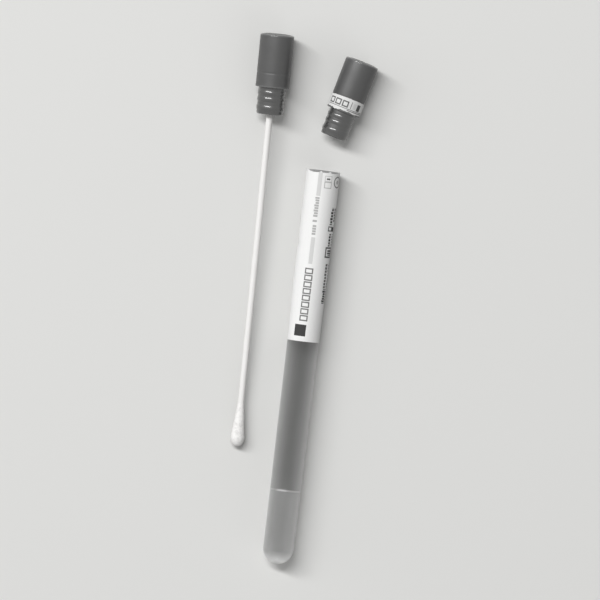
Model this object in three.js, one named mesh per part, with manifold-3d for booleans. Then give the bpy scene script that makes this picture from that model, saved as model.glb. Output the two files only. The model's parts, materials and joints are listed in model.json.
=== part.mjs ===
// Specimen swab tube, opened and lying on a bench: a round-bottomed plastic tube with a paper label
// and a set transport gel in it, its pulled stopper with the torn top strip of the label, and the swab.
// Stopper and swab cap are one moulding. Either one plugs the tube: its shoulder lands on the mouth.
// Millimetres, +Z up. Every piece is turned about its own Y axis and then laid on the floor at z = 0.

import * as THREE from 'three';
import { mergeVertices } from 'three/addons/utils/BufferGeometryUtils.js';
import Module from 'manifold-3d';

const wasm = await Module();
wasm.setup();
const { degToRad, lerp, mapLinear, radToDeg, smoothstep } = THREE.MathUtils;

// ---- Driving dimensions, mm and degrees -------------------------------------------------------

// Tube: y = 0 at the round end, y = TUBE_LENGTH at the mouth.
const TUBE_LENGTH = 150;
const TUBE_WALL = 1.0;
const SOCKET_BORE = 10.6; // straight bore in the mouth, which the plugs seal in
const SOCKET_SPARE = 0.8; // how much deeper than the plugs it is
const SOCKET_STEP = 0.2; // how much wider than the bore below it, on the radius
const EASE_LENGTH = 12; // below the socket, where it narrows by that step
const BORE_DRAFT = 0.3; // from there the bore narrows by this on the radius to the round end
const LIP_RADIUS = 0.3; // on both edges of the mouth

// Transport gel, poured upright and set.
const GEL_DEPTH = 27.0;
const MENISCUS_RISE = 0.35;
const MENISCUS_WIDTH = 0.9;
const GEL_CLEARANCE = 0.05;

// Paper label. Its top strip ran on over the stopper, and tore off along the joint.
const PAPER = 0.12;
const GLUE = 0.03;
const LABEL_LENGTH = 64.4;
const LABEL_BELOW_RIM = 0.45;
const SEAM_GAP = 3.4; // bare stretch where the wrapped sheet doesn't quite meet, underneath
const STRIP_WIDTH = 4.6; // torn strip that stays on the stopper
const STRIP_ABOVE_SHOULDER = 0.55;
const TEAR_DEPTH = 0.3; // how far the ragged edge wanders each way

// Cap moulding: y = 0 at the shoulder, head upwards, plug downwards.
const HEAD_LENGTH = 20.1; // from the shoulder to the top edge
const HEAD_OVERHANG = 0.12; // of the shoulder past the tube's mouth, on the radius
const HEAD_DRAFT = 0.05; // the side leans in by this much at the bead, and out again at the top
const HEAD_EDGE = 0.5; // rounding of the top edge
const TOP_CROWN = 0.3; // how far the top swells between its edge and its flat middle
const TOP_FLAT = 2.5; // radius of that flat middle
const BEAD_HEIGHT = 0.9; // rolled lower edge of the head
const SINK_AT = 5.5; // shallow moulding sink round the head, above the shoulder
const SINK_DEPTH = 0.07;
const SINK_WIDTH = 1.2;
const PLUG_LENGTH = 10.2;
const PLUG_CHAMFER = 0.4;
const RING_SQUEEZE = 0.05; // how much larger than the socket the ring crests are, on the radius
const RING_DEPTHS = [2.1, 4.5, 7.7]; // of the sealing rings' crests, below the shoulder
const RING_WIDTH = 2.0;
const RING_HEIGHT = 0.22; // above the neck
const NOSE_RELIEF = 0.28; // at the nose's end, so that the plug finds the mouth
const CAP_TOP_WALL = 2.2;
const PLUG_WALL = 1.0; // behind the neck
const CORE_DRAFT = 0.2; // the core narrows by this much on the radius towards the head
const BOSS_WALL = 0.85; // round the stick's hole
const BOSS_SETBACK = 1.0; // from the plug's end
const RIB_COUNT = 4;
const RIB_WIDTH = 0.8;

// Swab: the stick is pressed into the cap's boss, and the fibre bud is wound on its end.
const STICK_DIAMETER = 2.45;
const STICK_GRIP = 13; // length held in the boss
const STICK_CHAMFER = 0.3;
const STICK_CLEARANCE = 0.03;
const TIP_STANDOFF = 13; // bud tip above the tube's round end when the swab is in the tube
const BUD_LENGTH = 16.5;
const BUD_DIAMETER = 5.45;
const BUD_NOSE = 3.5; // from the tip to the widest place
const BUD_TAPER = 1.15; // 1 is a straight cone, more hollows it towards the stick
const BUD_EDGE = 0.08; // thickness of the winding where it starts on the stick
const BUD_CORE = 3; // stick's end above the bud's tip

// How the pieces lie, seen from above, with the tube along +Y. Places are those of the shoulders.
const STOPPER_PAST_MOUTH = 23.1;
const STOPPER_BESIDE = 4.8;
const STOPPER_TURN = -14.6;
const SWAB_PAST_MOUTH = 29.1;
const SWAB_BESIDE = -22.9;
const SWAB_TURN = 1.1;

// Facets of the round shapes.
const BODY_SIDES = 48;
const SHEET_SIDES = 72;
const CORE_SIDES = 32;
const STICK_SIDES = 24;

// ---- Sizes that follow ------------------------------------------------------------------------

const socketRadius = SOCKET_BORE / 2;
const mouthRadius = socketRadius + TUBE_WALL;
const boreTop = socketRadius - SOCKET_STEP;
const boreBottom = boreTop - BORE_DRAFT;
const endRadius = boreBottom + TUBE_WALL; // round end, outside
const socketStart = TUBE_LENGTH - PLUG_LENGTH - SOCKET_SPARE;
const easeStart = socketStart - EASE_LENGTH;
const beadRadius = mouthRadius + HEAD_OVERHANG;
const crestRadius = socketRadius + RING_SQUEEZE;
const neckRadius = crestRadius - RING_HEIGHT;
const coreRadius = neckRadius - PLUG_WALL;
const stickRadius = STICK_DIAMETER / 2;
const stickHole = stickRadius + STICK_CLEARANCE;
const bossRadius = stickHole + BOSS_WALL;
const stickTop = STICK_GRIP - PLUG_LENGTH;
const budTip = TIP_STANDOFF - TUBE_LENGTH;
const stickEnd = budTip + BUD_CORE;

// ---- Outlines ---------------------------------------------------------------------------------

const point = (radius, y) => new THREE.Vector2(radius, y);

// Points on an arc about (cx, cy), from one angle to another in degrees, both ends included.
function arc(cx, cy, radius, from, to, steps) {
  return Array.from({ length: steps + 1 }, (_, i) => {
    const angle = degToRad(lerp(from, to, i / steps));
    return point(cx + radius * Math.cos(angle), cy + radius * Math.sin(angle));
  });
}

// Evenly spaced numbers from a to b, both included.
const spread = (a, b, steps) => Array.from({ length: steps + 1 }, (_, i) => lerp(a, b, i / steps));

const closed = (points) => [...points, points[0].clone()];

// Radius of the tube's bore at height y, above the round end.
function boreRadius(y) {
  if (y >= easeStart) {
    return lerp(boreTop, socketRadius, smoothstep(y, easeStart, socketStart));
  }
  return mapLinear(y, endRadius, easeStart, boreBottom, boreTop);
}

// The heights at which the tube's wall changes direction, from low to high, between two others.
function wallHeights(low, high) {
  const bends = spread(easeStart, socketStart, 4).filter((y) => y > low && y < high);
  return [low, ...bends, high];
}

// Outline of the plug from the shoulder down: the neck, the rounded sealing rings, then the nose.
function plugOutline() {
  const half = RING_WIDTH / 2;
  const bow = (half ** 2 + RING_HEIGHT ** 2) / (2 * RING_HEIGHT);
  const edge = radToDeg(Math.asin(half / bow));
  return [
    point(neckRadius, 0),
    ...RING_DEPTHS.flatMap((depth) => arc(crestRadius - bow, -depth, bow, edge, -edge, 4)),
    point(crestRadius - NOSE_RELIEF, PLUG_CHAMFER - PLUG_LENGTH),
    point(crestRadius - NOSE_RELIEF - PLUG_CHAMFER, -PLUG_LENGTH),
  ];
}

// Radius of the head's side at height y above the bead: mould draft and the shallow sink.
function headRadius(y) {
  const draft = mapLinear(y, BEAD_HEIGHT, HEAD_LENGTH - HEAD_EDGE, HEAD_DRAFT, 0);
  const sink = Math.max(0, 1 - (2 * Math.abs(y - SINK_AT)) / SINK_WIDTH);
  return beadRadius - draft - SINK_DEPTH * sink;
}

// Radius of the bud at a distance from its tip: an elliptic nose, then a hollow cone to the stick.
function budRadius(fromTip) {
  if (fromTip < BUD_NOSE) {
    return (BUD_DIAMETER / 2) * Math.sqrt(1 - (1 - fromTip / BUD_NOSE) ** 2);
  }
  const left = 1 - (fromTip - BUD_NOSE) / (BUD_LENGTH - BUD_NOSE);
  return lerp(stickHole + BUD_EDGE, BUD_DIAMETER / 2, left ** BUD_TAPER);
}

// Height of the torn edge round a piece, -1 to 1, by the angle round its axis.
function tear(angle) {
  return 0.5 * Math.sin(5 * angle + 1) + 0.3 * Math.sin(11 * angle + 4) + 0.2 * Math.sin(23 * angle);
}

// ---- Solids -----------------------------------------------------------------------------------

const lathe = (points, sides = BODY_SIDES) => new THREE.LatheGeometry(points, sides);

// A closed geometry as a solid: shared corners merged, and pinched triangles on the axis dropped.
function toSolid(geometry) {
  const bare = geometry.clone();
  bare.deleteAttribute('normal');
  bare.deleteAttribute('uv');
  const merged = mergeVertices(bare);
  const corners = merged.index.array;
  const kept = [];
  for (let i = 0; i < corners.length; i += 3) {
    const [a, b, c] = corners.slice(i, i + 3);
    if (a !== b && b !== c && c !== a) kept.push(a, b, c);
  }
  const vertProperties = new Float32Array(merged.attributes.position.array);
  return new wasm.Manifold(
    new wasm.Mesh({ numProp: 3, vertProperties, triVerts: new Uint32Array(kept) }),
  );
}

function toGeometry(solid) {
  const mesh = solid.getMesh();
  const geometry = new THREE.BufferGeometry();
  geometry.setAttribute('position', new THREE.BufferAttribute(mesh.vertProperties, 3));
  geometry.setIndex(new THREE.BufferAttribute(mesh.triVerts, 1));
  geometry.computeVertexNormals();
  return geometry;
}

// Tube wall: up the outside from the round end, over the lip, and down the bore.
function tubeGeometry() {
  const lip = TUBE_LENGTH - LIP_RADIUS;
  const heights = wallHeights(endRadius, lip);
  const outside = heights.slice(1, -1).map((y) => point(boreRadius(y) + TUBE_WALL, y));
  const inside = heights.slice(1, -1).map((y) => point(boreRadius(y), y));
  return lathe([
    ...arc(0, endRadius, endRadius, -90, 0, 9),
    ...outside,
    ...arc(mouthRadius - LIP_RADIUS, lip, LIP_RADIUS, 0, 90, 3),
    ...arc(socketRadius + LIP_RADIUS, lip, LIP_RADIUS, 90, 180, 3),
    ...inside.reverse(),
    ...arc(0, endRadius, boreBottom, 0, -90, 9),
  ]);
}

// Gel: fills the round end up to a flat top with a small meniscus at the wall.
function gelGeometry() {
  const top = TUBE_WALL + GEL_DEPTH;
  const edge = boreRadius(top + MENISCUS_RISE) - GEL_CLEARANCE;
  const meniscus = [1, 0.6, 0.3, 0].map((s) =>
    point(edge - MENISCUS_WIDTH * (1 - s), top + MENISCUS_RISE * s ** 2));
  return lathe([
    ...arc(0, endRadius, boreBottom - GEL_CLEARANCE, -90, 0, 9),
    ...meniscus,
    point(0, top),
  ]);
}

// A sheet wrapped round a piece, as a closed sleeve from y = low to y = high. inner(y) is the radius
// that it lies on. The ring of corners at the height torn wanders up and down along the tear.
function sleeve(heights, inner, torn) {
  const outline = closed([
    ...heights.map((y) => point(inner(y) + GLUE + PAPER, y)),
    ...[...heights].reverse().map((y) => point(inner(y) + GLUE, y)),
  ]);
  const geometry = lathe(outline, SHEET_SIDES);
  const corners = geometry.attributes.position;
  for (let i = 0; i < corners.count; i += 1) {
    if (Math.abs(corners.getY(i) - torn) < 1e-4) {
      const angle = Math.atan2(corners.getX(i), corners.getZ(i));
      corners.setY(i, torn + TEAR_DEPTH * tear(angle));
    }
  }
  return toSolid(geometry);
}

// Opens a sleeve underneath, where the wrapped sheet's two edges stay apart.
function openSeam(solid, heights) {
  const reach = heights.at(-1) - heights[0] + 2;
  const cutter = new THREE.BoxGeometry(SEAM_GAP, reach, mouthRadius);
  cutter.translate(0, (heights.at(-1) + heights[0]) / 2, -mouthRadius);
  return toGeometry(solid.subtract(toSolid(cutter)));
}

function labelGeometry() {
  const top = TUBE_LENGTH - LABEL_BELOW_RIM;
  const heights = wallHeights(top - LABEL_LENGTH, top);
  const lies = (y) => boreRadius(y) + TUBE_WALL;
  return openSeam(sleeve(heights, lies, top), heights);
}

function stripGeometry() {
  const low = STRIP_ABOVE_SHOULDER;
  const heights = [low, low + STRIP_WIDTH];
  return openSeam(sleeve(heights, () => beadRadius, low), heights);
}

// Outside of the cap moulding: plug nose, rings, shoulder, bead, head, rounded edge and crowned top.
function capBlank() {
  const side = [BEAD_HEIGHT, SINK_AT - SINK_WIDTH / 2, SINK_AT, SINK_AT + SINK_WIDTH / 2];
  const bead = BEAD_HEIGHT / 2;
  const topRadius = headRadius(HEAD_LENGTH - HEAD_EDGE) - HEAD_EDGE;
  return toSolid(lathe([
    point(0, -PLUG_LENGTH),
    ...plugOutline().reverse(),
    point(beadRadius - bead / 2, 0),
    point(beadRadius, bead / 2),
    point(beadRadius, bead),
    ...side.map((y) => point(headRadius(y), y)),
    ...arc(topRadius, HEAD_LENGTH - HEAD_EDGE, HEAD_EDGE, 0, 90, 2),
    ...spread(1, 0, 2).slice(1).map((s) =>
      point(lerp(TOP_FLAT, topRadius, s), HEAD_LENGTH + TOP_CROWN * (1 - s ** 2))),
    point(0, HEAD_LENGTH + TOP_CROWN),
  ]));
}

// What the core pin leaves: a ring-shaped hollow round the stick's boss, open at the plug's end.
// Ribs tie the boss to the head's wall. They stop at the shoulder, so that the plug can give.
function capHollow() {
  const roof = HEAD_LENGTH - CAP_TOP_WALL;
  const mouth = -PLUG_LENGTH - 1;
  const bossEnd = BOSS_SETBACK - PLUG_LENGTH;
  let hollow = toSolid(lathe(closed([
    point(bossRadius, bossEnd),
    point(0.5 * bossRadius, bossEnd),
    point(0.5 * bossRadius, mouth),
    point(coreRadius, mouth),
    point(coreRadius - CORE_DRAFT, roof),
    point(bossRadius, roof),
  ]), CORE_SIDES));
  for (let i = 0; i < RIB_COUNT; i += 1) {
    const rib = new THREE.BoxGeometry(RIB_WIDTH, HEAD_LENGTH, neckRadius);
    rib.translate(0, HEAD_LENGTH / 2, neckRadius / 2);
    rib.rotateY((2 * Math.PI * (i + 0.5)) / RIB_COUNT);
    hollow = hollow.subtract(toSolid(rib));
  }
  return hollow;
}

function capGeometry() {
  const top = stickTop + STICK_CLEARANCE;
  const hole = toSolid(lathe([
    point(0, -PLUG_LENGTH - 1),
    point(stickHole, -PLUG_LENGTH - 1),
    point(stickHole, top),
    point(0, top),
  ], STICK_SIDES));
  return toGeometry(capBlank().subtract(capHollow()).subtract(hole));
}

function stickGeometry() {
  const tip = stickRadius - STICK_CHAMFER;
  return lathe([
    point(0, stickEnd),
    point(tip, stickEnd),
    point(stickRadius, stickEnd + STICK_CHAMFER),
    point(stickRadius, stickTop - STICK_CHAMFER),
    point(tip, stickTop),
    point(0, stickTop),
  ], STICK_SIDES);
}

// Bud: up the outside from the tip, then down the hole that the stick fills.
function budGeometry() {
  const nose = spread(0, 90, 6).slice(1).map((a) => BUD_NOSE * (1 - Math.cos(degToRad(a))));
  const cone = spread(BUD_NOSE, BUD_LENGTH, 6).slice(1);
  return lathe([
    point(0, budTip),
    ...[...nose, ...cone].map((fromTip) => point(budRadius(fromTip), budTip + fromTip)),
    point(stickHole, budTip + BUD_LENGTH),
    point(stickHole, stickEnd - STICK_CLEARANCE),
    point(0, stickEnd - STICK_CLEARANCE),
  ], STICK_SIDES);
}

// ---- Pieces and how they lie ------------------------------------------------------------------

function piece(name, geometry, color, roughness) {
  const mesh = new THREE.Mesh(geometry, new THREE.MeshStandardMaterial({ color, roughness }));
  mesh.name = name;
  return mesh;
}

// Lays a group down on two of its rings, each given as [radius, y], and turns it on the floor.
function layDown(group, [lowRadius, lowY], [highRadius, highY], x, y, turn) {
  const pitch = Math.atan2(highRadius - lowRadius, highY - lowY);
  group.rotation.set(pitch, 0, degToRad(turn), 'ZYX');
  group.position.set(x, y, lowRadius * Math.cos(pitch) - lowY * Math.sin(pitch));
  return group;
}

const PLASTIC_GREY = 0x66686a;

const tubeGroup = new THREE.Group().add(
  piece('tube', tubeGeometry(), 0xb4b7b9, 0.45),
  piece('transport_gel', gelGeometry(), 0xcfd1d2, 0.3),
  piece('tube_label', labelGeometry(), 0xf4f4f2, 0.6),
);
const stopperGroup = new THREE.Group().add(
  piece('tube_stopper', capGeometry(), PLASTIC_GREY, 0.4),
  piece('seal_strip', stripGeometry(), 0xf4f4f2, 0.6),
);
const swabGroup = new THREE.Group().add(
  piece('swab_cap', capGeometry(), PLASTIC_GREY, 0.4),
  piece('swab_stick', stickGeometry(), 0xf2f2f0, 0.35),
  piece('swab_bud', budGeometry(), 0xf8f8f6, 0.9),
);

// The tube lies on its round end and the foot of its socket, the stopper on both ends of its head.
// The swab's weight is past its cap's shoulder, so it lies on the cap's bead and the bud.
const headTop = [headRadius(HEAD_LENGTH - HEAD_EDGE), HEAD_LENGTH - HEAD_EDGE];
const bead = [beadRadius, BEAD_HEIGHT / 4];
const bud = [BUD_DIAMETER / 2, budTip + BUD_NOSE];
layDown(tubeGroup, [endRadius, endRadius], [mouthRadius, socketStart], 0, 0, 0);
layDown(stopperGroup, bead, headTop, STOPPER_BESIDE, TUBE_LENGTH + STOPPER_PAST_MOUTH, STOPPER_TURN);
layDown(swabGroup, bud, bead, SWAB_BESIDE, TUBE_LENGTH + SWAB_PAST_MOUTH, SWAB_TURN);

// The part's origin is on the floor, under the middle of everything.
const layout = new THREE.Group().add(tubeGroup, stopperGroup, swabGroup);
const middle = new THREE.Box3().setFromObject(layout, true).getCenter(new THREE.Vector3());
layout.position.set(-middle.x, -middle.y, 0);

export default new THREE.Group().add(layout);
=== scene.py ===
"""Specimen swab tube, opened and lying on a bench: the labelled tube with set transport gel in it, its pulled
stopper with the torn strip of label, and the swab in its cap. Each piece is modelled in its own frame, in
millimetres, turned about its Y axis with +Z up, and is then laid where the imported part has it."""

import json
import math

import bpy
from mathutils import Matrix, Vector, noise


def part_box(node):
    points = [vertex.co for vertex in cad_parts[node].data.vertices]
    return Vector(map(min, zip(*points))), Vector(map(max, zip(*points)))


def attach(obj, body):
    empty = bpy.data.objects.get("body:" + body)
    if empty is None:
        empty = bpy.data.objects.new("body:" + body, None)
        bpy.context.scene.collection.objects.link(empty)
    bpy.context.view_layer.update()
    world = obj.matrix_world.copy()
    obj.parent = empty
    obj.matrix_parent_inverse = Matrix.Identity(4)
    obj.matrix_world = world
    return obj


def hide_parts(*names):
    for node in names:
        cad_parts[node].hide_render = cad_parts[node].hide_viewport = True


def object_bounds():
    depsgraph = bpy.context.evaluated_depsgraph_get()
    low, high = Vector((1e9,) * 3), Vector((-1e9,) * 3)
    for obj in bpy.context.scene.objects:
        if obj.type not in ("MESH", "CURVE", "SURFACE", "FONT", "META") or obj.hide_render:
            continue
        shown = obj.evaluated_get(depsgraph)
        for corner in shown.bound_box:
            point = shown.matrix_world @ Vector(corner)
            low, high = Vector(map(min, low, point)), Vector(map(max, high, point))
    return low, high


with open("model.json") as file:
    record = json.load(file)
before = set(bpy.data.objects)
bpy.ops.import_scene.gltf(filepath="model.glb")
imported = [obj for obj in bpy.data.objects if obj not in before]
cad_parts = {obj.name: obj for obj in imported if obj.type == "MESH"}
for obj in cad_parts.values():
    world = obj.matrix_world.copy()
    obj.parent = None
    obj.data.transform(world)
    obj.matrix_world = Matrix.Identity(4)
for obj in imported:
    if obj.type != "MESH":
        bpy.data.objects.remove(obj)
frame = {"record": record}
cad_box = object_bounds()

MM = 0.001

# ---- Sizes, mm ---------------------------------------------------------------------------------

# Tube: height 0 at the round end.
TUBE_LENGTH = 150
TUBE_WALL = 1.0
SOCKET_BORE = 10.6
SOCKET_DEPTH = 11.0
SOCKET_STEP = 0.2
EASE_LENGTH = 12
BORE_DRAFT = 0.3
LIP_RADIUS = 0.3
END_GLOW = (1, 4.5)  # heights between which the round end's painted glow fades out
GATE_SPOT = (0.9, 1.7)  # radii between which the gate's spot, painted paler as glow and less see-through, fades out

# Gel, poured upright and set. Along its edge the wall has a painted highlight line, strongest over an arc on
# top.
GEL_DEPTH = 27.0
MENISCUS_RISE = 0.35
MENISCUS_WIDTH = 0.9
GEL_CLEARANCE = 0.05
FILL_LINE = 0.64
HIGHLIGHT_AT = -1.2
HIGHLIGHT_WIDTH = 3.4

# Label, and the strip of it that tore off with the stopper. Angles are in degrees, 0 on top.
PAPER = 0.12
GLUE = 0.03
LABEL_LENGTH = 64.4
LABEL_BELOW_RIM = 0.45
SEAM_GAP = 3.4
TEAR_WAVES = [(0.5, 5, 1), (0.3, 11, 4), (0.2, 23, 0)]  # height, how many go round, and the first one's angle
TEAR_FRAY = 0.5
FRAY_RATE = 9
LABEL_TORN_BAND = 2.0  # the tear's shape fades out over this much of the label
LABEL_TEAR = 0.12
TABS = [(-7, 5), (25, 6), (-68, 30), (80, 20)]  # left standing at the tear: angle and half width
TAB_HEIGHT = 0.55
# Where the label stands off the tube: angle, most lift, and how far below the mouth it rises and falls again.
LIFTS = [
    (-85, 0.20, (28.8, 30.2), (44, 62)),
    (-85, 0.16, (12, 22), (26, 27.6)),
    (85, 0.10, (14, 22), (48, 51)),
]
LIFT_HALF_WIDTH = 50
STRIP_WIDTH = 4.6
STRIP_ABOVE_SHOULDER = 0.55
STRIP_TORN_BAND = 1.5
STRIP_TEAR = 0.3
STRIP_SKEW = 0.55  # its other edge is this much higher on top than at the sides
NICKED_BAND = 0.5
NICK_DEPTH = 0.12

# Cap moulding: height 0 at the shoulder, head upwards, plug downwards.
HEAD_LENGTH = 20.1
HEAD_OVERHANG = 0.12
HEAD_DRAFT = 0.05
HEAD_EDGE = 0.5
TOP_CROWN = 0.3
TOP_FLAT = 2.5
BEAD_HEIGHT = 0.9
# Width of the paler line painted round the shoulder's edge as a highlight.
RIM_HIGHLIGHT_BAND = 0.6
RUBBED_EDGE = 0.6
SINK_AT = 5.5
SINK_DEPTH = 0.07
SINK_WIDTH = 1.2
HEAD_LOOPS = [10, 15]  # heights of two more loops on its side, so that it shades as one sweep
PLUG_LENGTH = 10.2
PLUG_CHAMFER = 0.4
NECK_LOOP = 0.6
RING_SQUEEZE = 0.05
RING_DEPTHS = [2.1, 4.5, 7.7]
RING_WIDTH = 2.0
RING_HEIGHT = 0.22
NOSE_RELIEF = 0.28
CAP_TOP_WALL = 2.2
PLUG_WALL = 1.0
CORE_DRAFT = 0.2
CORE_FLARE = 0.2  # lead-in at the core's mouth
BOSS_WALL = 0.85
BOSS_SETBACK = 1.0
RIB_WIDTH = 0.8
RIB_TURNS = (45, 135)  # degrees, each slot making a pair of ribs

# Swab.
STICK_DIAMETER = 2.45
STICK_GRIP = 13
STICK_CHAMFER = 0.3
STICK_CLEARANCE = 0.03
TIP_STANDOFF = 13
BUD_LENGTH = 16.5
BUD_DIAMETER = 5.45
BUD_NOSE = 3.5
BUD_TAPER = 1.15
BUD_EDGE = 0.08
BUD_CORE = 3
BUD_LUMPS = [(0.10, 0.55), (0.045, 1.9)]  # height, and how many to the millimetre or so
WINDING_HEIGHT = 0.02
WINDING_PITCH = 0.9

# How near two corners are merged, in a turned piece and along a cut, and how near a surface one is on it.
SAME_CORNER = 0.0005
SLIVER = 0.002
ON_SURFACE = 0.01

# Steps round the turned shapes.
BODY_STEPS = 160
SHEET_STEPS = 360
CORE_STEPS = 64
STICK_STEPS = 48
BUD_STEPS = 96

socket_radius = SOCKET_BORE / 2
mouth_radius = socket_radius + TUBE_WALL
bore_top = socket_radius - SOCKET_STEP
bore_bottom = bore_top - BORE_DRAFT
end_radius = bore_bottom + TUBE_WALL
socket_start = TUBE_LENGTH - SOCKET_DEPTH
ease_start = socket_start - EASE_LENGTH
bead_radius = mouth_radius + HEAD_OVERHANG
crest_radius = socket_radius + RING_SQUEEZE
neck_radius = crest_radius - RING_HEIGHT
core_radius = neck_radius - PLUG_WALL
stick_radius = STICK_DIAMETER / 2
stick_hole = stick_radius + STICK_CLEARANCE
boss_radius = stick_hole + BOSS_WALL
stick_top = STICK_GRIP - PLUG_LENGTH
bud_tip = TIP_STANDOFF - TUBE_LENGTH
stick_end = bud_tip + BUD_CORE


# ---- Outlines: (radius, height) ----------------------------------------------------------------


def lerp(a, b, t):
    return a + (b - a) * t


def smooth(value, low, high):
    """0 below low, 1 above high, and an even S between them."""
    t = min(max((value - low) / (high - low), 0), 1)
    return t * t * (3 - 2 * t)


def spread(a, b, steps):
    """Evenly spaced numbers from a to b, both included."""
    return [lerp(a, b, i / steps) for i in range(steps + 1)]


def arc(middle, height, radius, first, last, steps):
    """Points on an arc, its angles in degrees."""
    angles = [math.radians(a) for a in spread(first, last, steps)]
    return [(middle + radius * math.cos(a), height + radius * math.sin(a)) for a in angles]


def bore(height):
    """Radius of the tube's bore above its round end."""
    if height >= ease_start:
        return lerp(bore_top, socket_radius, smooth(height, ease_start, socket_start))
    return lerp(bore_bottom, bore_top, (height - end_radius) / (ease_start - end_radius))


def tube_outline():
    """Up the outside from the round end, over the lip, and down the bore."""
    lip = TUBE_LENGTH - LIP_RADIUS
    heights = spread(end_radius, ease_start, steps=8)[1:] + spread(ease_start, socket_start, steps=8)[1:]
    return [
        *arc(0, end_radius, end_radius, -90, 0, steps=24),
        *[(bore(y) + TUBE_WALL, y) for y in heights],
        *arc(mouth_radius - LIP_RADIUS, lip, LIP_RADIUS, 0, 90, steps=5),
        *arc(socket_radius + LIP_RADIUS, lip, LIP_RADIUS, 90, 180, steps=5),
        *[(bore(y), y) for y in reversed(heights)],
        *arc(0, end_radius, bore_bottom, 0, -90, steps=24),
    ]


def gel_outline():
    """Fills the round end up to a flat top with a small meniscus at the wall."""
    top = TUBE_WALL + GEL_DEPTH
    edge = bore(top) - GEL_CLEARANCE
    climb = [1, 0.8, 0.6, 0.45, 0.3, 0.15, 0]
    return [
        *arc(0, end_radius, bore_bottom - GEL_CLEARANCE, -90, 0, steps=24),
        *[(edge - MENISCUS_WIDTH * (1 - s), top + MENISCUS_RISE * s * s) for s in climb],
        (0, top),
    ]


def plug_outline():
    """From the shoulder down: the neck, the rounded sealing rings, then the nose."""
    half = RING_WIDTH / 2
    bow = (half**2 + RING_HEIGHT**2) / (2 * RING_HEIGHT)
    edge = math.degrees(math.asin(half / bow))
    rings = [p for depth in RING_DEPTHS for p in arc(crest_radius - bow, -depth, bow, edge, -edge, steps=12)]
    nose = crest_radius - NOSE_RELIEF
    return [
        (neck_radius, 0),
        (neck_radius, -NECK_LOOP),
        *rings,
        *arc(nose - PLUG_CHAMFER, PLUG_CHAMFER - PLUG_LENGTH, PLUG_CHAMFER, 0, -90, steps=6),
    ]


def head_radius(height):
    """The head's side: mould draft and the shallow sink."""
    top = HEAD_LENGTH - HEAD_EDGE
    draft = lerp(HEAD_DRAFT, 0, (height - BEAD_HEIGHT) / (top - BEAD_HEIGHT))
    sink = max(0, 1 - 2 * abs(height - SINK_AT) / SINK_WIDTH)
    return bead_radius - draft - SINK_DEPTH * smooth(sink, 0, 1)


def cap_outline():
    """The stick's hole, the plug's nose and rings, the shoulder, the bead, the head and its crowned top."""
    top = HEAD_LENGTH - HEAD_EDGE
    edge = head_radius(top) - HEAD_EDGE
    bead_edge = BEAD_HEIGHT / 4
    hole_end = stick_top + STICK_CLEARANCE
    sink = spread(SINK_AT - SINK_WIDTH / 2, SINK_AT + SINK_WIDTH / 2, steps=12)
    crown = spread(1, 0, steps=6)[1:]
    return [
        (0, hole_end),
        (stick_hole, hole_end),
        (stick_hole, -PLUG_LENGTH),
        *reversed(plug_outline()),
        *arc(bead_radius - bead_edge, bead_edge, bead_edge, -90, 0, steps=6),
        (bead_radius, BEAD_HEIGHT - bead_edge),
        *[(head_radius(y), y) for y in [BEAD_HEIGHT * 1.3, *sink, *HEAD_LOOPS]],
        *arc(edge, top, HEAD_EDGE, 0, 90, steps=8),
        *[(lerp(TOP_FLAT, edge, out), HEAD_LENGTH + TOP_CROWN * (1 - out * out)) for out in crown],
        (0, HEAD_LENGTH + TOP_CROWN),
    ]


def core_outline():
    """What the core pin leaves: a ring-shaped hollow round the stick's boss. At the boss's end it reaches in
    past the stick's hole, so that the cut leaves that end flat."""
    roof = HEAD_LENGTH - CAP_TOP_WALL
    below = -PLUG_LENGTH - 1
    boss_end = BOSS_SETBACK - PLUG_LENGTH
    inside = 0.7 * stick_hole
    return [
        (boss_radius, boss_end),
        (inside, boss_end),
        (inside, below),
        (core_radius + CORE_FLARE, below),
        (core_radius + CORE_FLARE, -PLUG_LENGTH),
        (core_radius, CORE_FLARE - PLUG_LENGTH),
        (core_radius - CORE_DRAFT, roof),
        (boss_radius, roof),
        (boss_radius, boss_end),
    ]


def stick_outline():
    tip = stick_radius - STICK_CHAMFER
    return [
        (0, stick_end),
        (tip, stick_end),
        (stick_radius, stick_end + STICK_CHAMFER),
        *[(stick_radius, y) for y in spread(stick_end + 1, stick_top - 1, steps=24)],
        (stick_radius, stick_top - STICK_CHAMFER),
        (tip, stick_top),
        (0, stick_top),
    ]


def bud_radius(from_tip):
    """An elliptic nose, then a hollow cone that runs out on the stick."""
    if from_tip < BUD_NOSE:
        return BUD_DIAMETER / 2 * math.sqrt(1 - (1 - from_tip / BUD_NOSE) ** 2)
    left = 1 - (from_tip - BUD_NOSE) / (BUD_LENGTH - BUD_NOSE)
    return lerp(stick_hole + BUD_EDGE, BUD_DIAMETER / 2, left**BUD_TAPER)


def bud_outline():
    """Up the outside from the tip, then down the hole that the stick fills."""
    nose = [BUD_NOSE * (1 - math.cos(math.radians(a))) for a in spread(0, 90, steps=20)]
    cone = spread(BUD_NOSE, BUD_LENGTH, steps=52)[1:]
    return [
        *[(bud_radius(s), bud_tip + s) for s in nose + cone],
        (stick_hole, bud_tip + BUD_LENGTH),
        (stick_hole, stick_end - STICK_CLEARANCE),
        (0, stick_end - STICK_CLEARANCE),
    ]


# ---- Modelling ---------------------------------------------------------------------------------


def new_primitive(add, name, **settings):
    """Adds a primitive with nothing else selected, and opens it in edit mode."""
    bpy.ops.object.select_all(action="DESELECT")
    add(**settings)
    piece = bpy.context.object
    piece.name = piece.data.name = name
    bpy.ops.object.mode_set(mode="EDIT")
    return piece


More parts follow.
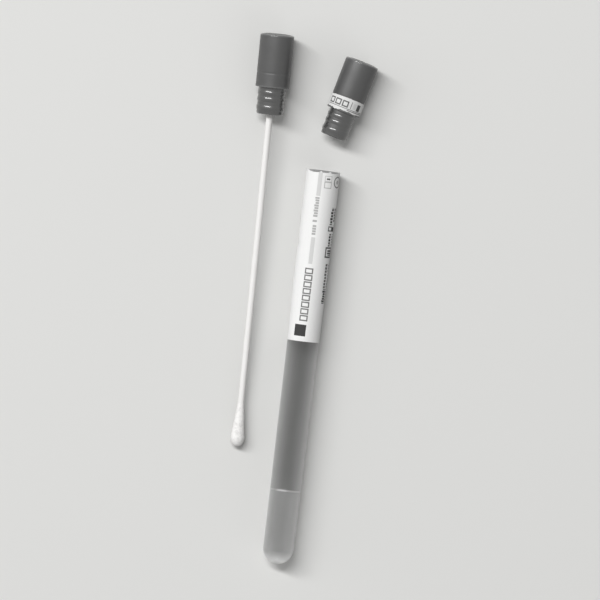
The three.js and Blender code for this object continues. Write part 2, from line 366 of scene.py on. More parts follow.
def turned(name, outline, steps=BODY_STEPS, opening=0.0):
    """Draws an outline one point at a time and spins it about the Y axis. opening is the angle left out of it
    underneath."""
    piece = new_primitive(bpy.ops.mesh.primitive_plane_add, name, size=1)
    bpy.ops.mesh.merge(type="CENTER")
    first = math.pi - opening / 2
    away = Vector((math.sin(first), 0, math.cos(first)))
    corners = [radius * away + Vector((0, height, 0)) for radius, height in outline]
    bpy.ops.transform.translate(value=corners[0])
    for last, corner in zip(corners, corners[1:]):
        bpy.ops.mesh.extrude_region_move(TRANSFORM_OT_translate={"value": corner - last})
    bpy.ops.mesh.select_all(action="SELECT")
    bpy.ops.mesh.spin(steps=steps, angle=2 * math.pi - opening, center=(0, 0, 0), axis=(0, 1, 0))
    bpy.ops.mesh.select_all(action="SELECT")
    bpy.ops.mesh.remove_doubles(threshold=SAME_CORNER)
    bpy.ops.mesh.normals_make_consistent(inside=False)
    bpy.ops.object.mode_set(mode="OBJECT")
    return piece


def pick_up(piece):
    """Selects one piece and nothing else."""
    bpy.ops.object.select_all(action="DESELECT")
    piece.select_set(True)
    bpy.context.view_layer.objects.active = piece


def modify(piece, kind, **settings):
    """Adds a modifier and applies it."""
    pick_up(piece)
    modifier = piece.modifiers.new(kind.title(), kind)
    for key, value in settings.items():
        setattr(modifier, key, value)
    bpy.ops.object.modifier_apply(modifier=modifier.name)


def cut(piece, cutter):
    """Takes the cutter away from the piece, removes the cutter, and clears the slivers along the cut."""
    modify(piece, "BOOLEAN", operation="DIFFERENCE", solver="EXACT", object=cutter)
    bpy.data.objects.remove(cutter)
    bpy.ops.object.mode_set(mode="EDIT")
    bpy.ops.mesh.select_all(action="SELECT")
    bpy.ops.mesh.remove_doubles(threshold=SLIVER)
    bpy.ops.mesh.dissolve_degenerate(threshold=SLIVER)
    bpy.ops.object.mode_set(mode="OBJECT")


def move_corners(piece, shift):
    """Moves each corner by what shift says for its place."""
    for corner in piece.data.vertices:
        corner.co += shift(corner.co)


def angle_at(place):
    """Angle about a piece's axis, 0 on top and a quarter turn on its right."""
    return math.atan2(place.x, place.z)


def outwards(place):
    return Vector((place.x, 0, place.z)).normalized()


def lay(piece, place, material, node, smooth_angle=35):
    """Shades a finished piece, keeps its own coordinates for the patterns, and lays it on the part."""
    mesh = piece.data
    own = mesh.attributes.new("own_mm", "FLOAT_VECTOR", "POINT")
    own.data.foreach_set("vector", [c for corner in mesh.vertices for c in corner.co])
    mesh.transform(place)
    mesh.materials.append(material)
    pick_up(piece)
    bpy.ops.object.shade_smooth_by_angle(angle=math.radians(smooth_angle))
    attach(piece, "root")
    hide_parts(node)


def place_on(point, direction):
    """Takes a piece's own frame in mm to the row frame: its axis along direction, its top kept on top."""
    along = Vector(direction).normalized()
    right = along.cross(Vector((0, 0, 1))).normalized()
    up = right.cross(along)
    turn = Matrix((right, along, up)).transposed().to_4x4()
    return Matrix.Translation(point) @ turn @ Matrix.Scale(MM, 4)


def mount(name):
    found = next(m for m in frame["record"]["mounts"] if m["name"] == name)
    return Vector(found["pos_m"]), Vector(found["axis"]).normalized()


def tube_place():
    mouth, axis = mount("tube_mouth")
    low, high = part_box("tube")
    mouth.x = (low.x + high.x) / 2
    return place_on(mouth - axis * TUBE_LENGTH * MM, axis)


def cap_place(name):
    top, axis = mount(name)
    return place_on(top - axis * (HEAD_LENGTH + TOP_CROWN) * MM, axis)


# ---- Paper -------------------------------------------------------------------------------------


def tear(angle):
    """Height of the torn edge round a piece: waves of -1 to 1, and a frayed edge on them."""
    waves = sum(height * math.sin(count * angle + start) for height, count, start in TEAR_WAVES)
    fray = noise.noise(Vector((FRAY_RATE * math.cos(angle), FRAY_RATE * math.sin(angle), 3.7)))
    return waves + TEAR_FRAY * fray


def bump(value, middle, half):
    """1 at the middle, easing to 0 at half on either side."""
    return 1 - smooth(abs(value - middle), 0, half)


def flat_map(piece, radius, top):
    """UV map of a wrapped sheet, in mm: across from the line along its top, and down from the height top."""
    mesh = piece.data
    layer = mesh.uv_layers.new(name="flat_mm")
    for polygon in mesh.polygons:
        centre = angle_at(polygon.center)
        for i in polygon.loop_indices:
            place = mesh.vertices[mesh.loops[i].vertex_index].co
            angle = angle_at(place)
            angle += 2 * math.pi * round((centre - angle) / (2 * math.pi))
            layer.data[i].uv = (angle * radius, top - place.y)


def wrapped_paper(name, outline, outer, top, shift):
    """A sheet wrapped round, open along its seam underneath: its corners are moved by shift, and then it gets
    its thickness. outer is its outside radius, and top the height that its print is measured down from."""
    sheet = turned(name, outline, SHEET_STEPS, opening=2 * math.asin(SEAM_GAP / 2 / outer))
    move_corners(sheet, shift)
    modify(sheet, "SOLIDIFY", thickness=PAPER, offset=1, use_even_offset=True)
    flat_map(sheet, outer, top)
    return sheet


def make_label():
    """Torn off along its upper edge, which has left a few tabs, and lifting off the tube here and there."""
    high = TUBE_LENGTH - LABEL_BELOW_RIM
    torn = high - LABEL_TORN_BAND
    heights = spread(high - LABEL_LENGTH, torn, steps=56) + [high - 1.3, high - 0.8, high - 0.4, high]

    def shift(place):
        angle = math.degrees(angle_at(place))
        tabs = sum(bump(angle, at, half) for at, half in TABS)
        rip = LABEL_TEAR * tear(angle_at(place)) + TAB_HEIGHT * min(tabs, 1)
        down = TUBE_LENGTH - place.y
        lift = sum(
            most * bump(angle, at, LIFT_HALF_WIDTH) * smooth(down, *rise) * (1 - smooth(down, *fall))
            for at, most, rise, fall in LIFTS
        )
        return Vector((0, rip * smooth(place.y, torn, high), 0)) + lift * outwards(place)

    outline = [(bore(y) + TUBE_WALL + GLUE, y) for y in heights]
    return wrapped_paper("tube_label_paper", outline, mouth_radius + GLUE + PAPER, TUBE_LENGTH, shift)


def make_strip():
    """Torn along its lower edge; its upper edge is cut a little askew and nicked."""
    low = STRIP_ABOVE_SHOULDER
    torn = low + STRIP_TORN_BAND
    high = low + STRIP_WIDTH
    nicked = high - NICKED_BAND
    heights = [low, low + 0.4, low + 0.9, *spread(torn, high - 0.4, steps=6), high]

    def shift(place):
        angle = angle_at(place)
        rip = STRIP_TEAR * tear(angle) * (1 - smooth(place.y, low, torn))
        skew = STRIP_SKEW * math.cos(angle) * smooth(place.y, low + 2, high)
        nicks = NICK_DEPTH * noise.noise(Vector((7 * angle, 0, 1.3))) * smooth(place.y, nicked, high)
        return Vector((0, rip + skew + nicks, 0))

    outline = [(bead_radius + GLUE, y) for y in heights]
    return wrapped_paper("seal_strip_paper", outline, bead_radius + GLUE + PAPER, 0, shift)


# ---- Caps and swab -----------------------------------------------------------------------------


def make_cap():
    """Turned outside, less the cored sectors between four ribs, which stop at the shoulder."""
    core = turned("core_pin", core_outline(), CORE_STEPS)
    middle = (0, HEAD_LENGTH / 2, 0)
    for turn in RIB_TURNS:
        slab = new_primitive(bpy.ops.mesh.primitive_cube_add, "rib_slot", size=1, location=middle)
        bpy.ops.transform.resize(value=(RIB_WIDTH, HEAD_LENGTH, 2 * bead_radius), center_override=middle)
        bpy.ops.transform.rotate(value=math.radians(turn), orient_axis="Y", center_override=(0, 0, 0))
        bpy.ops.object.mode_set(mode="OBJECT")
        cut(core, slab)
    cap = turned("stopper_moulding", cap_outline())
    cut(cap, core)
    return cap


def copy_of(piece, name):
    twin = piece.copy()
    twin.data = piece.data.copy()
    twin.name = twin.data.name = name
    bpy.context.collection.objects.link(twin)
    return twin


def make_bud():
    """The wound bud, with the soft lumps and the slightly lopsided nose that winding leaves."""
    bud = turned("swab_bud_fibre", bud_outline(), BUD_STEPS)

    def shift(place):
        from_tip = place.y - bud_tip
        radius = math.hypot(place.x, place.z)
        skin = bud_radius(min(max(from_tip, 0), BUD_LENGTH))
        if radius < skin - ON_SURFACE or from_tip > BUD_LENGTH - ON_SURFACE:
            return Vector((0, 0, 0))
        thickness = smooth(radius, stick_hole, BUD_DIAMETER / 2)
        lumps = sum(height * noise.noise(place * fineness) for height, fineness in BUD_LUMPS)
        turns = WINDING_HEIGHT * math.sin(2 * math.pi * place.y / WINDING_PITCH + 2 * angle_at(place))
        return outwards(place) * thickness * (lumps + turns)

    move_corners(bud, shift)
    return bud


# ---- Materials ---------------------------------------------------------------------------------


def linear(colour):
    """An sRGB hex colour as the linear one that a socket takes."""
    channels = [int(colour[i : i + 2], 16) / 255 for i in (1, 3, 5)]
    return (*[c / 12.92 if c <= 0.04045 else ((c + 0.055) / 1.055) ** 2.4 for c in channels], 1)


def add_node(tree, kind, inputs=(), **settings):
    """Adds a node with its settings. An input, by name or number, is linked to a socket or set to a value."""
    node = tree.nodes.new("ShaderNode" + kind)
    for key, value in settings.items():
        setattr(node, key, value)
    for key, value in dict(inputs).items():
        if isinstance(value, bpy.types.NodeSocket):
            tree.links.new(value, node.inputs[key])
        else:
            node.inputs[key].default_value = value
    return node


def new_material(name):
    material = bpy.data.materials.new(name)
    material.use_nodes = True
    material.node_tree.nodes.clear()
    return material, material.node_tree


# A Mix node of colours takes its factor and its two colours at these inputs, and gives the mix here.
FACTOR, FIRST, SECOND, MIXED = 0, 6, 7, 2


def moulded_polyethylene():
    """Low-density polyethylene from a spark-eroded mould: an even mid grey with faint flow clouds, a paler
    line painted round the shoulder's edge as a highlight, and a soft satin shine that fine grain breaks up.
    The plug's part of the mould has a high polish, so that its rings seal: there the skin is glossier, and
    its colour is painted darker as shade. The rounded edge of the top is rubbed as glossy, and catches the
    light in a fine line."""
    material, tree = new_material("moulded_grey_polyethylene_satin")
    own = add_node(tree, "Attribute", attribute_name="own_mm").outputs["Vector"]
    height = add_node(tree, "SeparateXYZ", {0: own}).outputs["Y"]
    # Flow clouds are 4 to 5 mm across. The mould's grain is 0.05 mm, drawn at 0.3 mm so that it shows.
    clouds = add_node(tree, "TexNoise", {"Vector": own, "Scale": 0.22, "Detail": 4, "Roughness": 0.6})
    grain = add_node(tree, "TexNoise", {"Vector": own, "Scale": 3.3, "Detail": 2})
    greys = {FACTOR: clouds.outputs["Fac"], FIRST: linear("#4d4d4d"), SECOND: linear("#575757")}
    body = add_node(tree, "Mix", greys, data_type="RGBA").outputs[MIXED]
    # A paler line painted round the shoulder's edge stands in for a highlight there.
    half = RIM_HIGHLIGHT_BAND / 2
    painted_rim_highlight = add_node(tree, "Math", {0: height, 1: half, 2: half}, operation="COMPARE").outputs[0]
    rim_highlight_colours = {FACTOR: painted_rim_highlight, FIRST: body, SECOND: linear("#656565")}
    head = add_node(tree, "Mix", rim_highlight_colours, data_type="RGBA").outputs[MIXED]
    # On the plug the colour is multiplied darker, as painted shade; the same mask gives the plug its glossy
    # coat.
    polished_and_shaded = add_node(tree, "Math", {0: height, 1: 0}, operation="LESS_THAN").outputs[0]
    painted_shade_plug = {FACTOR: polished_and_shaded, FIRST: head, SECOND: linear("#c6c6c6")}
    colour = add_node(tree, "Mix", painted_shade_plug, data_type="RGBA", blend_type="MULTIPLY").outputs[MIXED]
    top_edge = {0: height, 1: HEAD_LENGTH - HEAD_EDGE / 2, 2: RUBBED_EDGE / 2}
    rubbed = add_node(tree, "Math", top_edge, operation="COMPARE").outputs[0]
    glossy = add_node(tree, "Math", {0: polished_and_shaded, 1: rubbed}, operation="MAXIMUM")
    shine = add_node(tree, "MapRange", {"Value": clouds.outputs["Fac"], "To Min": 0.34, "To Max": 0.44})
    relief = add_node(tree, "Bump", {"Height": grain.outputs["Fac"], "Strength": 0.10, "Distance": 0.02 * MM})
    plastic = add_node(
        tree,
        "BsdfPrincipled",
        {
            "Base Color": colour,
            "Roughness": shine.outputs["Result"],
            "IOR": 1.51,
            "Coat Weight": glossy.outputs[0],
            "Coat Roughness": 0.14,
            "Coat IOR": 1.6,
            "Normal": relief.outputs["Normal"],
        },
    )
    add_node(tree, "OutputMaterial", {"Surface": plastic.outputs["BSDF"]})
    return material


def moulded_polypropylene():
    """Natural polypropylene from a finely matt mould: milky and half see-through, with a shine along its wall
    seen edge on. A painted glow makes it paler at the round end, most of all round the gate. Above the gel
    its see-through colour is painted greyer, as shade, and a fine pale line at the gel's edge, strongest on
    top, is a painted highlight."""
    material, tree = new_material("moulded_natural_polypropylene_matt")
    own = add_node(tree, "Attribute", attribute_name="own_mm").outputs["Vector"]
    across, height, _ = add_node(tree, "SeparateXYZ", {0: own}).outputs
    # Flow streaks are 2 mm by 20 mm. The mould's grain is 0.05 mm, drawn at 0.4 mm so that it shows.
    drawn = add_node(tree, "Mapping", {"Vector": own, "Scale": (0.5, 0.05, 0.5)})
    flow = add_node(tree, "TexNoise", {"Vector": drawn.outputs["Vector"], "Scale": 1, "Detail": 3})
    grain = add_node(tree, "TexNoise", {"Vector": own, "Scale": 2.5, "Detail": 2})
    # Painted glow: white at the round end, and in an oval spot round the gate.
    ramp = {"Value": height, "From Min": END_GLOW[0], "From Max": END_GLOW[1], "To Min": 1, "To Max": 0}
    painted_end_glow = add_node(tree, "MapRange", ramp).outputs[0]
    oval = add_node(tree, "Mapping", {"Vector": own, "Scale": (1, 0.45, 0)})
    from_gate = add_node(tree, "VectorMath", {0: oval.outputs["Vector"]}, operation="LENGTH").outputs["Value"]
    ramp = {"Value": from_gate, "From Min": GATE_SPOT[0], "From Max": GATE_SPOT[1], "To Min": 1, "To Max": 0}
    spot = add_node(tree, "MapRange", ramp).outputs[0]
    # Painted glow, from the round end and the gate's spot together.
    pale = add_node(tree, "Math", {0: painted_end_glow, 1: spot}, operation="MAXIMUM").outputs[0]
    streaks = {FACTOR: flow.outputs["Fac"], FIRST: linear("#e3e3e3"), SECOND: linear("#eeeeee")}
    streaked = add_node(tree, "Mix", streaks, data_type="RGBA").outputs[MIXED]
    glow_colours = {FACTOR: pale, FIRST: streaked, SECOND: linear("#ffffff")}
    colour = add_node(tree, "Mix", glow_colours, data_type="RGBA").outputs[MIXED]
    shine = add_node(tree, "MapRange", {"Value": flow.outputs["Fac"], "To Min": 0.40, "To Max": 0.52})
    relief = add_node(tree, "Bump", {"Height": grain.outputs["Fac"], "Strength": 0.08, "Distance": 0.02 * MM})
    plastic = add_node(
        tree,
        "BsdfPrincipled",
        {
            "Base Color": colour,
            "Roughness": shine.outputs["Result"],
            "IOR": 1.49,
            "Sheen Weight": 1.0,
            "Sheen Roughness": 0.3,
            "Normal": relief.outputs["Normal"],
        },
    )
    # Light comes through the milky wall, less where it is seen edge on, at the painted highlight line and at
    # the gate's painted glow.
    gel_top = TUBE_WALL + GEL_DEPTH
    edge_on = add_node(tree, "LayerWeight", {"Blend": 0.5}).outputs["Facing"]
    ramp = {"Value": edge_on, "From Min": 0.6, "From Max": 0.95, "To Min": 0.92, "To Max": 0.0}
    milky = add_node(tree, "MapRange", ramp).outputs[0]
    # A paler, less see-through line at the gel's edge, strongest on top, is a painted highlight.
    highlight_band = {0: height, 1: gel_top + MENISCUS_RISE / 2, 2: FILL_LINE / 2}
    fill_line = add_node(tree, "Math", highlight_band, operation="COMPARE").outputs[0]
    highlight_stretch = {0: across, 1: HIGHLIGHT_AT, 2: HIGHLIGHT_WIDTH / 2}
    highlight_on_top = add_node(tree, "Math", highlight_stretch, operation="COMPARE").outputs[0]
    painted_highlight_line = add_node(tree, "Math", {0: highlight_on_top, 1: fill_line}, operation="MULTIPLY").outputs[0]
    opaque = add_node(tree, "Math", {0: painted_highlight_line, 1: spot}, operation="MAXIMUM").outputs[0]
    lit_through = add_node(tree, "Math", {0: opaque, 1: -0.65, 2: 1}, operation="MULTIPLY_ADD").outputs[0]
    milkiness = add_node(tree, "Math", {0: milky, 1: lit_through}, operation="MULTIPLY")
    milk = add_node(tree, "BsdfTranslucent", {"Color": colour})
    wall = add_node(tree, "MixShader", {0: milkiness.outputs[0], 1: plastic.outputs[0], 2: milk.outputs[0]})
    # It is see-through, but less so seen edge on. It is less see-through at the round end and at the lip,
    # where that paints a glow, and at the fill line, where it paints a highlight.
    # Painted shade: the see-through colour is greyer above the gel than along it.
    along_gel = add_node(tree, "Math", {0: height, 1: gel_top}, operation="LESS_THAN").outputs[0]
    painted_shade_tints = {FACTOR: along_gel, FIRST: linear("#d7d7d7"), SECOND: linear("#e4e4e4")}
    painted_shade_tint = add_node(tree, "Mix", painted_shade_tints, data_type="RGBA").outputs[MIXED]
    clear = add_node(tree, "BsdfTransparent", {"Color": painted_shade_tint})
    share = add_node(tree, "MapRange", {"Value": edge_on, "To Min": 0.75, "To Max": 0.0}).outputs[0]
    lip = TUBE_LENGTH - LIP_RADIUS
    for ramp in [
        {"Value": height, "From Min": 0.5, "From Max": 5, "To Min": 0.1},
        {"Value": fill_line, "To Min": 1, "To Max": 0.45},
        {"Value": height, "From Min": lip - LIP_RADIUS, "From Max": lip, "To Min": 1, "To Max": 0.45},
    ]:
        less = add_node(tree, "MapRange", ramp).outputs[0]
        share = add_node(tree, "Math", {0: share, 1: less}, operation="MULTIPLY").outputs[0]
    seen = add_node(tree, "MixShader", {0: share, 1: wall.outputs[0], 2: clear.outputs[0]})
    add_node(tree, "OutputMaterial", {"Surface": seen.outputs[0]})
    return material


def set_agar_gel():
    """Set agar gel: cloudy grey-white, with softly denser swirls, and moist on top."""
    material, tree = new_material("set_agar_gel_cloudy")
    own = add_node(tree, "Attribute", attribute_name="own_mm").outputs["Vector"]
    # Swirls are about 3 mm across.
    swirl = add_node(tree, "TexNoise", {"Vector": own, "Scale": 0.35, "Detail": 4, "Distortion": 0.6})
    whites = {FACTOR: swirl.outputs["Fac"], FIRST: linear("#efefef"), SECOND: linear("#f8f8f8")}
    colour = add_node(tree, "Mix", whites, data_type="RGBA").outputs[MIXED]
    moist = add_node(tree, "BsdfPrincipled", {"Base Color": colour, "Roughness": 0.3, "IOR": 1.34})
    milk = add_node(tree, "BsdfTranslucent", {"Color": colour})
    cloudy = add_node(tree, "MixShader", {0: 0.95, 1: moist.outputs[0], 2: milk.outputs[0]})
    clear = add_node(tree, "BsdfTransparent")
    seen = add_node(tree, "MixShader", {0: 0.25, 1: cloudy.outputs[0], 2: clear.outputs[0]})
    add_node(tree, "OutputMaterial", {"Surface": seen.outputs[0]})
    return material


def extruded_polystyrene():
    """White polystyrene rod, extruded: a low satin shine with faint lines along it."""
    material, tree = new_material("extruded_white_polystyrene_satin")
    own = add_node(tree, "Attribute", attribute_name="own_mm").outputs["Vector"]
    # The die's lines are 0.05 mm wide, drawn at 0.3 mm so that they show, and run for 12 mm or so.
    drawn = add_node(tree, "Mapping", {"Vector": own, "Scale": (3, 0.08, 3)})
    lines = add_node(tree, "TexNoise", {"Vector": drawn.outputs["Vector"], "Scale": 1, "Detail": 3})
    whites = {FACTOR: lines.outputs["Fac"], FIRST: linear("#efeeec"), SECOND: linear("#f7f6f4")}
    colour = add_node(tree, "Mix", whites, data_type="RGBA").outputs[MIXED]
    shine = add_node(tree, "MapRange", {"Value": lines.outputs["Fac"], "To Min": 0.32, "To Max": 0.45})
    relief = add_node(tree, "Bump", {"Height": lines.outputs["Fac"], "Strength": 0.15, "Distance": 0.03 * MM})
    plastic = add_node(
        tree,
        "BsdfPrincipled",
        {
            "Base Color": colour,
            "Roughness": shine.outputs["Result"],
            "IOR": 1.59,
            "Normal": relief.outputs["Normal"],
        },
    )
    add_node(tree, "OutputMaterial", {"Surface": plastic.outputs["BSDF"]})
    return material


def wound_viscose():
    """Viscose fibre wound on the stick: bright matt white, with a fuzzy sheen and fine threads laid across,
    and painted shade that makes it a little greyer in patches between the clumps of fibre."""
    material, tree = new_material("wound_viscose_fibre")
    own = add_node(tree, "Attribute", attribute_name="own_mm").outputs["Vector"]
    # Threads are 0.02 mm, drawn as strands of 0.25 mm so that they show. The patches of painted shade are a
    # millimetre or so wide.
    strand = add_node(tree, "Mapping", {"Vector": own, "Scale": (0.7, 4, 0.7)}).outputs["Vector"]
    threads = add_node(tree, "TexNoise", {"Vector": strand, "Scale": 1, "Detail": 4, "Distortion": 1.2})
    fuzz = add_node(tree, "TexNoise", {"Vector": own, "Scale": 6, "Detail": 3})
    clumps = add_node(tree, "TexNoise", {"Vector": own, "Scale": 0.9, "Detail": 3, "Distortion": 0.6})
    # Painted shade: a little greyer in patches between the clumps of fibre.
    painted_tuft_shade = add_node(tree, "MapRange", {"Value": clumps.outputs["Fac"], "From Min": 0.3, "From Max": 0.55})
    whites = {FACTOR: painted_tuft_shade.outputs[0], FIRST: linear("#e7e6e4"), SECOND: linear("#fbfaf8")}
    colour = add_node(tree, "Mix", whites, data_type="RGBA").outputs[MIXED]
    pile = add_node(tree, "Math", {0: threads.outputs["Fac"], 1: fuzz.outputs["Fac"]}, operation="ADD")
    relief = add_node(tree, "Bump", {"Height": pile.outputs["Value"], "Strength": 0.5, "Distance": 0.12 * MM})
    fibre = add_node(
        tree,
        "BsdfPrincipled",
        {
            "Base Color": colour,
            "Roughness": 0.92,
            "Sheen Weight": 0.3,
            "Sheen Roughness": 0.5,
            "Normal": relief.outputs["Normal"],
        },
    )
    add_node(tree, "OutputMaterial", {"Surface": fibre.outputs["BSDF"]})
    return material


class Sheet:
    """Simple printed shapes on a flat sheet, in mm across and down, gathered as one strength of ink. A shape
    is 1 where it prints and 0 elsewhere."""

    def __init__(self, tree):
        self.tree = tree
        self.flat = add_node(tree, "UVMap", uv_map="flat_mm").outputs["UV"]
        self.across, self.down, _ = add_node(tree, "SeparateXYZ", {0: self.flat}).outputs
        self.ink = 0

    def within(self, value, low, high):
        bounds = {0: value, 1: (low + high) / 2, 2: (high - low) / 2}
        return add_node(self.tree, "Math", bounds, operation="COMPARE").outputs[0]

    def oblong(self, left, right, top, bottom):
        sides = {0: self.within(self.across, left, right), 1: self.within(self.down, top, bottom)}
        return add_node(self.tree, "Math", sides, operation="MULTIPLY").outputs[0]

    def border(self, left, right, top, bottom, line):
        outer = self.oblong(left, right, top, bottom)
        inner = self.oblong(left + line, right - line, top + line, bottom - line)
        return add_node(self.tree, "Math", {0: outer, 1: inner}, operation="SUBTRACT").outputs[0]

    def ring(self, across, down, inner, outer):
        ends = {0: self.flat, 1: (across, down, 0)}
        distance = add_node(self.tree, "VectorMath", ends, operation="DISTANCE").outputs["Value"]
        return self.within(distance, inner, outer)

    def small_print(self, left, right, top, bottom, pitch, gaps):
        """A line of small print that runs down the sheet, as plain marks of uneven height. gaps is the share
        of them that is left out."""
        tall = right - left
        place = add_node(self.tree, "Math", {0: self.down, 1: pitch}, operation="DIVIDE").outputs[0]
        number = add_node(self.tree, "Math", {0: place}, operation="FLOOR").outputs[0]
        part = add_node(self.tree, "Math", {0: place}, operation="FRACT").outputs[0]
        chance = add_node(self.tree, "TexWhiteNoise", {"W": number}, noise_dimensions="1D").outputs["Value"]
        uneven = {0: chance, 1: -0.3 * tall, 2: right - 0.72 * tall}
        head = add_node(self.tree, "Math", uneven, operation="MULTIPLY_ADD").outputs[0]
        marks = self.oblong(left, right, top, bottom)
        for test, value, bound in [
            ("LESS_THAN", part, 0.78),
            ("GREATER_THAN", chance, gaps),
            ("GREATER_THAN", self.across, head),
        ]:
            passed = add_node(self.tree, "Math", {0: value, 1: bound}, operation=test).outputs[0]
            marks = add_node(self.tree, "Math", {0: marks, 1: passed}, operation="MULTIPLY").outputs[0]
        return marks

    def print(self, shape, strength):
        """Adds a shape to the ink so far."""
        shape = add_node(self.tree, "Math", {0: shape, 1: strength}, operation="MULTIPLY").outputs[0]
        self.ink = add_node(self.tree, "Math", {0: self.ink, 1: shape}, operation="MAXIMUM").outputs[0]


def label_print(sheet):
    """The label's print, as fields of grey and plain marks, with a row of boxes down its middle."""
    boxes = spread(36.8, 57.3, steps=8)
    apart = 0.06 * (boxes[1] - boxes[0])
    for top, bottom in zip(boxes, boxes[1:]):
        sheet.print(sheet.border(-2.6, 0.7, top + apart, bottom - apart, 0.5), 0.8)
    sheet.print(sheet.oblong(-1.65, -0.03, 0.4, 9.4), 0.25)
    sheet.print(sheet.small_print(-1.95, -0.2, 9.9, 24.4, 0.98, 0.1), 0.5)
    sheet.print(sheet.oblong(-1.65, -0.03, 25.2, 35.3), 0.25)
    sheet.print(sheet.oblong(-4.2, 0.53, 58.5, 62.9), 0.96)
    sheet.print(sheet.border(0.95, 3.95, 3.8, 6.3, 0.32), 0.45)
    sheet.print(sheet.border(0.95, 3.95, 1.5, 3.8, 0.3), 0.3)
    sheet.print(sheet.oblong(1.7, 3.1, 2.45, 3.05), 0.9)
    sheet.print(sheet.ring(7.2, 3.7, 1.775, 2.225), 0.8)
    sheet.print(sheet.ring(7.2, 3.7, 0, 0.8), 0.5)
    sheet.print(sheet.small_print(5.45, 7.1, 13.4, 20.0, 1.15, 0.0), 0.95)
    sheet.print(sheet.small_print(7.7, 9.3, 13.4, 20.0, 1.05, 0.06), 0.95)
    sheet.print(sheet.border(5.0, 7.3, 20.5, 22.4, 0.4), 0.95)
    sheet.print(sheet.oblong(7.2, 9.4, 20.7, 22.4), 1.0)
    sheet.print(sheet.small_print(5.75, 7.25, 23.3, 28.1, 1.15, 0.0), 1.0)
    sheet.print(sheet.small_print(7.9, 9.4, 23.3, 28.1, 1.0, 0.06), 0.7)
    sheet.print(sheet.border(4.9, 9.3, 28.4, 32.5, 0.6), 0.9)
    sheet.print(sheet.small_print(5.8, 8.7, 29.4, 31.7, 0.95, 0.0), 0.9)
    sheet.print(sheet.small_print(5.9, 7.5, 34.6, 44.1, 1.2, 0.1), 0.85)
    sheet.print(sheet.small_print(5.95, 8.1, 44.4, 49.9, 0.9, 0.0), 1.0)
    sheet.print(sheet.small_print(8.3, 9.8, 34.6, 49.9, 1.0, 0.1), 0.7)


def strip_print(sheet):
    """The torn strip's print: a row of plain frames, an upright line, a dark block and a double rule."""
    for left in (-7.6, -4.6, -1.6):
        sheet.print(sheet.border(left, left + 2.5, -4.5, -2.1, 0.48), 0.85)
    sheet.print(sheet.oblong(1.95, 2.2, -4.7, -1.9), 0.8)
    sheet.print(sheet.oblong(2.9, 4.1, -4.4, -2.2), 0.12)
    sheet.print(sheet.oblong(4.6, 6.3, -4.5, -2.0), 0.9)
    sheet.print(sheet.oblong(-8, 9, -1.8, -1.5), 0.6)
    sheet.print(sheet.oblong(1, 9, -1.3, -1.0), 0.75)


def coated_label_paper(name, shapes, shade="#f0f0ef", light="#f8f8f7"):
    """White coated label paper, offset printed: smooth and nearly matt, with a trace of fibre."""
    material, tree = new_material(name)
    sheet = Sheet(tree)
    shapes(sheet)
    own = add_node(tree, "Attribute", attribute_name="own_mm").outputs["Vector"]
    # Its fibres are 0.03 mm across, drawn as clumps of 0.5 mm so that they show.
    fibre = add_node(tree, "TexNoise", {"Vector": own, "Scale": 2.0, "Detail": 5, "Roughness": 0.65})
    whites = {FACTOR: fibre.outputs["Fac"], FIRST: linear(shade), SECOND: linear(light)}
    bare = add_node(tree, "Mix", whites, data_type="RGBA").outputs[MIXED]
    inked = {FACTOR: sheet.ink, FIRST: bare, SECOND: linear("#1c1c1c")}
    colour = add_node(tree, "Mix", inked, data_type="RGBA").outputs[MIXED]
    shine = add_node(tree, "MapRange", {"Value": fibre.outputs["Fac"], "To Min": 0.5, "To Max": 0.62})
    relief = add_node(tree, "Bump", {"Height": fibre.outputs["Fac"], "Strength": 0.12, "Distance": 0.03 * MM})
    paper = add_node(
        tree,
        "BsdfPrincipled",
        {
            "Base Color": colour,
            "Roughness": shine.outputs["Result"],
            "IOR": 1.3,
            "Normal": relief.outputs["Normal"],
        },
    )
    add_node(tree, "OutputMaterial", {"Surface": paper.outputs["BSDF"]})
    return material


# ---- The pieces, made and laid -----------------------------------------------------------------

on_tube = tube_place()
on_stopper = cap_place("stopper_top")
on_swab = cap_place("swab_cap_top")

lay(turned("tube_wall", tube_outline()), on_tube, moulded_polypropylene(), "tube")
lay(turned("gel_fill", gel_outline()), on_tube, set_agar_gel(), "transport_gel")
lay(make_label(), on_tube, coated_label_paper("coated_label_paper", label_print), "tube_label")

grey_plastic = moulded_polyethylene()
stopper = make_cap()
swab_cap = copy_of(stopper, "swab_cap_moulding")
lay(stopper, on_stopper, grey_plastic, "tube_stopper", smooth_angle=20)
lay(swab_cap, on_swab, grey_plastic, "swab_cap", smooth_angle=20)
# The strip is stretched thin over the bead and handled, so it looks a little greyer than the label.
strip_paper = coated_label_paper("coated_strip_paper", strip_print, shade="#dddddc", light="#e8e8e7")
lay(make_strip(), on_stopper, strip_paper, "seal_strip")
stick = turned("swab_stick_rod", stick_outline(), STICK_STEPS)
lay(stick, on_swab, extruded_polystyrene(), "swab_stick")
lay(make_bud(), on_swab, wound_viscose(), "swab_bud", smooth_angle=60)


# ---- Floor, light and camera -------------------------------------------------------------------

PALE = "#e3e3e1"
DULL = "#80807e"
BENCH_SIZE = 12
ROOM_LIGHT = 0.22
LAMP_DISTANCE = 3.0
VIEW_WIDTH = 0.2272
VIEW_DISTANCE = 5.0
VIEW_TURN = math.radians(6.78)
VIEW_LEAN = math.radians(2.2)
VIEW_CENTRE = on_tube @ Vector((0, TUBE_LENGTH, 0)) + Vector((-0.00298, -0.04962, 0))

above = Vector((0, 0, 1))
view_right = Vector((math.cos(VIEW_TURN), math.sin(VIEW_TURN), 0))
view_up = above.cross(view_right)


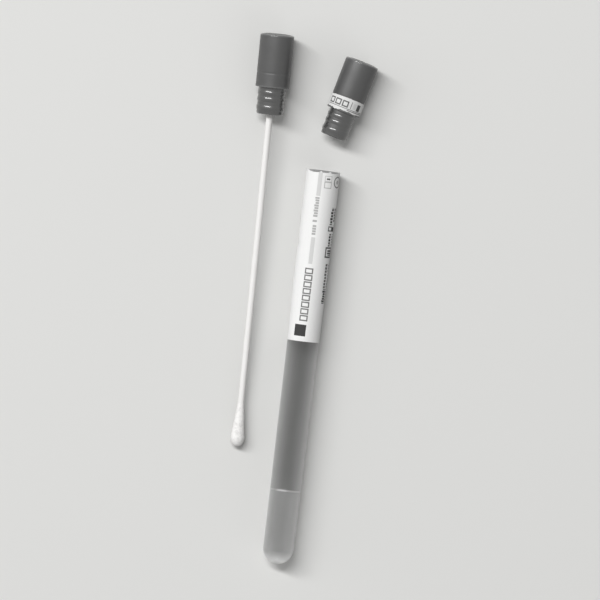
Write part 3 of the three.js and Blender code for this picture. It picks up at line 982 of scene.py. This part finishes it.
def pale_rays(tree):
    """1 for the rays that show the background: to the camera, and in gloss and see-through plastic."""
    path = add_node(tree, "LightPath").outputs
    seen = add_node(tree, "Math", {0: path["Is Camera Ray"], 1: path["Is Glossy Ray"]}, operation="MAXIMUM")
    through = {0: seen.outputs[0], 1: path["Is Transmission Ray"]}
    return add_node(tree, "Math", through, operation="MAXIMUM").outputs[0]


def bench_top():
    """Plain matt laminate, pale where it's seen, and duller in what it throws back on the part."""
    material, tree = new_material("matt_laminate_bench")
    shades = {FACTOR: pale_rays(tree), FIRST: linear(DULL), SECOND: linear(PALE)}
    colour = add_node(tree, "Mix", shades, data_type="RGBA").outputs[MIXED]
    top = add_node(tree, "BsdfPrincipled", {"Base Color": colour, "Roughness": 0.9})
    add_node(tree, "OutputMaterial", {"Surface": top.outputs["BSDF"]})
    return material


def make_floor():
    bpy.ops.object.select_all(action="DESELECT")
    bpy.ops.mesh.primitive_plane_add(size=BENCH_SIZE)
    floor = bpy.context.object
    floor.name = "bench"
    floor.data.materials.append(bench_top())


def make_world():
    """A dim even room for light, with the floor's own pale shade wherever the background shows."""
    world = bpy.data.worlds.new("studio")
    bpy.context.scene.world = world
    world.use_nodes = True
    tree = world.node_tree
    tree.nodes.clear()
    room = add_node(tree, "Background", {"Color": linear("#ffffff"), "Strength": ROOM_LIGHT})
    pale = add_node(tree, "Background", {"Color": linear(PALE), "Strength": 1})
    mixed = add_node(tree, "MixShader", {0: pale_rays(tree), 1: room.outputs[0], 2: pale.outputs[0]})
    add_node(tree, "OutputWorld", {"Surface": mixed.outputs[0]})


def softbox(name, towards, width, height, power, skew=0, in_gloss=False):
    """An area lamp that faces the part. towards is its direction: right and up in the view, and above. Its
    width lies across the view, turned clockwise by skew. in_gloss says whether shiny surfaces mirror it."""
    bpy.ops.object.light_add(type="AREA")
    lamp = bpy.context.object
    lamp.name = name
    back = (towards[0] * view_right + towards[1] * view_up + towards[2] * above).normalized()
    turned_by = math.radians(skew)
    width_way = math.cos(turned_by) * view_right - math.sin(turned_by) * view_up
    side = (width_way - back * width_way.dot(back)).normalized()
    turn = Matrix((side, back.cross(side), back)).transposed().to_4x4()
    middle = (cad_box[0] + cad_box[1]) / 2
    lamp.matrix_world = Matrix.Translation(middle + back * LAMP_DISTANCE) @ turn
    lamp.data.shape = "RECTANGLE"
    lamp.data.size, lamp.data.size_y = width, height
    lamp.data.energy = power
    lamp.visible_camera = False
    lamp.visible_glossy = in_gloss


def make_camera():
    bpy.ops.object.camera_add()
    camera = bpy.context.object
    back = math.sin(VIEW_LEAN) * view_up + math.cos(VIEW_LEAN) * above
    turn = Matrix((view_right, back.cross(view_right), back)).transposed().to_4x4()
    camera.matrix_world = Matrix.Translation(VIEW_CENTRE + back * VIEW_DISTANCE) @ turn
    camera.data.lens = camera.data.sensor_width * VIEW_DISTANCE / VIEW_WIDTH
    camera.data.clip_start, camera.data.clip_end = 0.1, 50
    bpy.context.scene.camera = camera


make_floor()
make_world()
softbox("key", (-0.36, 0.44, 0.82), 2.8, 0.5, 76, skew=19, in_gloss=True)
softbox("left", (-0.95, 0.05, 0.3), 2.5, 2.5, 15)
softbox("right", (0.6, -0.65, 0.45), 2.4, 2.4, 11)
make_camera()
bpy.context.scene.view_settings.view_transform = "Standard"
